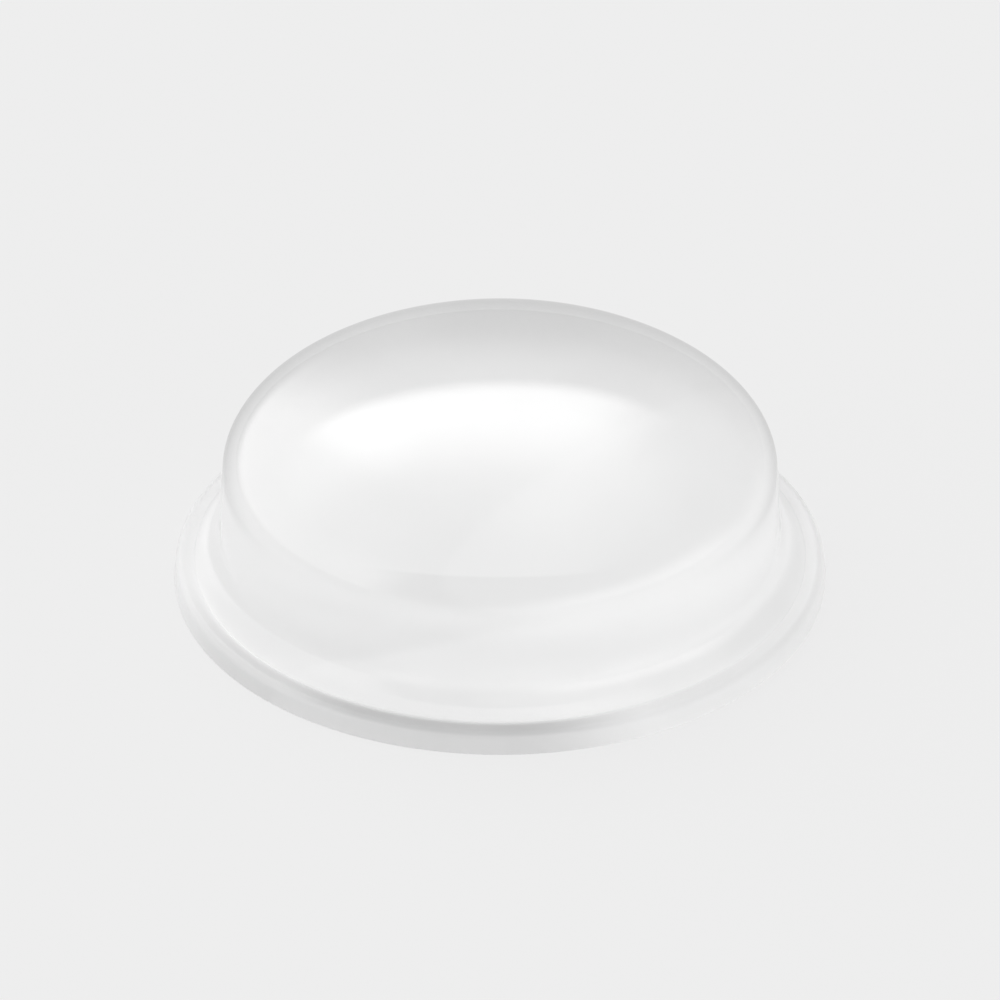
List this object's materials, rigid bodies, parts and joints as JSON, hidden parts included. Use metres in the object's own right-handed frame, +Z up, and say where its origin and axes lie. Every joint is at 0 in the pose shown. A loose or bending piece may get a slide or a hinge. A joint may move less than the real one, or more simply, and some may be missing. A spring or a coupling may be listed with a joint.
{
  "type": "cabinet door bumper",
  "caption": "Clear, soft, self-adhesive dome bumper on a thin round foot; sticks to a cabinet door or drawer front to cushion and quieten it as it closes.",
  "frame": {"origin": "centre of the flat, sticky underside of the foot", "axes": "+Z up along the dome's axis of revolution; X and Y lie in the underside and are interchangeable"},
  "size_m": [0.019, 0.019, 0.0066],
  "materials": {
    "clear_polyurethane": "clear, glossy, water-white soft polyurethane, moulded smooth; hazy clear adhesive over the underside"
  },
  "bodies": {
    "root": {"bumper": "clear_polyurethane"}
  },
  "joints": []
}
